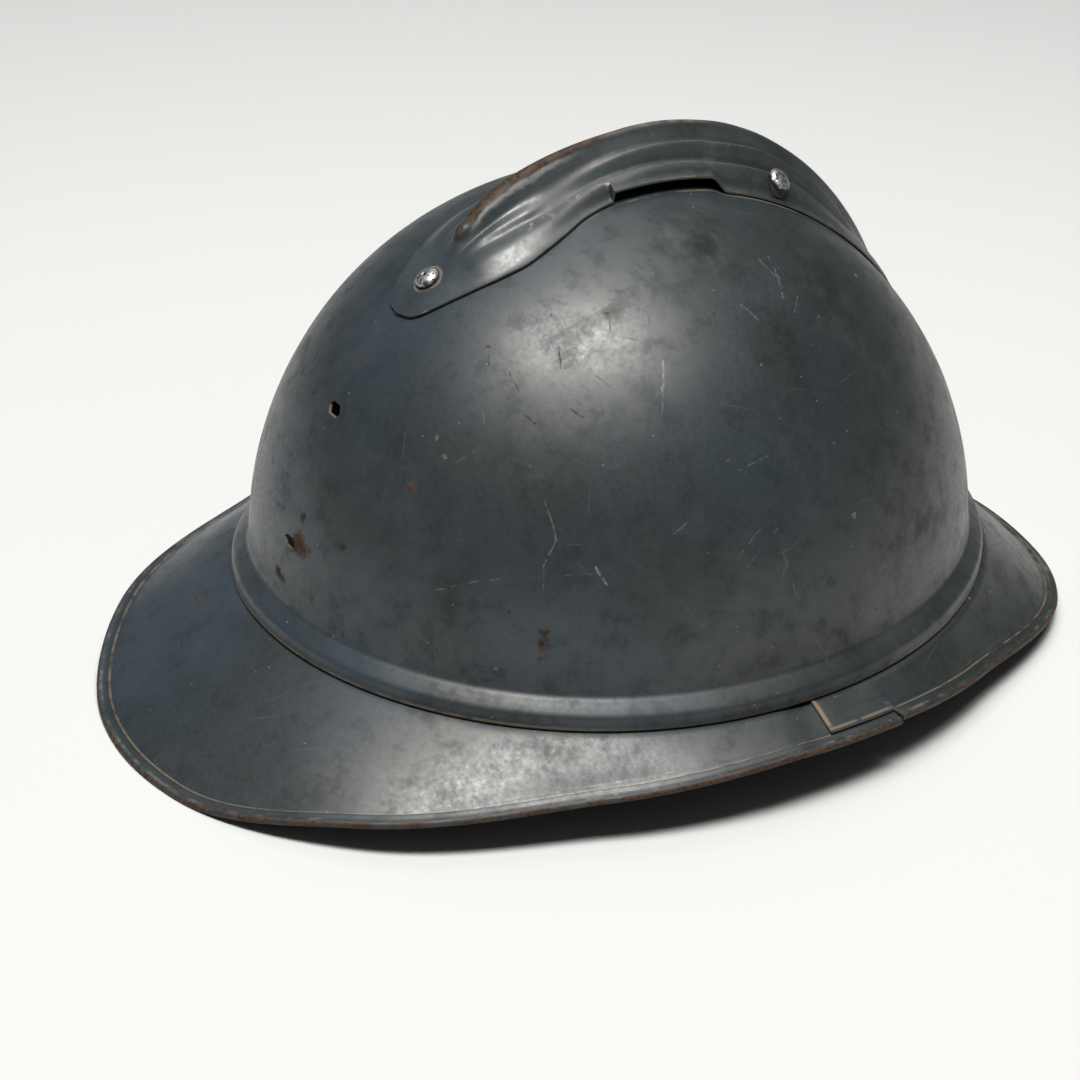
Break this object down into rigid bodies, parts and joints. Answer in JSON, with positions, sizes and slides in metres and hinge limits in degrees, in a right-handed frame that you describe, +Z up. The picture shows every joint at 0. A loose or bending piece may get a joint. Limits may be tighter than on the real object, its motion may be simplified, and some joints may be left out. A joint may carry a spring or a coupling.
{
  "type": "adrian helmet",
  "caption": "Crested steel infantry helmet: domed bowl with rolled collar, sloping visor, neck guard and riveted comb over the top.",
  "frame": {"origin": "centre of the bounding box's bottom face, on the surface the helmet rests on", "axes": "+Z up, -Y towards the front, over the visor, +X towards the wearer's left"},
  "size_m": [0.2258, 0.3029, 0.1561],
  "materials": {
    "bowl_paint": "aged semi-gloss slate blue enamel, scratched, with small rust specks",
    "brim_paint": "aged semi-gloss slate blue enamel, worn and rusted along the hem",
    "crest_paint": "aged semi-gloss slate blue enamel, ridge worn to brown rust",
    "rivet_metal": "dull, pitted, with traces of paint"
  },
  "bodies": {
    "root": {"bowl": "bowl_paint", "front_visor": "brim_paint", "neck_guard": "brim_paint", "crest": "crest_paint", "rivet_front": "rivet_metal", "rivet_rear": "rivet_metal", "rivet_left": "rivet_metal", "rivet_right": "rivet_metal"}
  },
  "joints": []
}
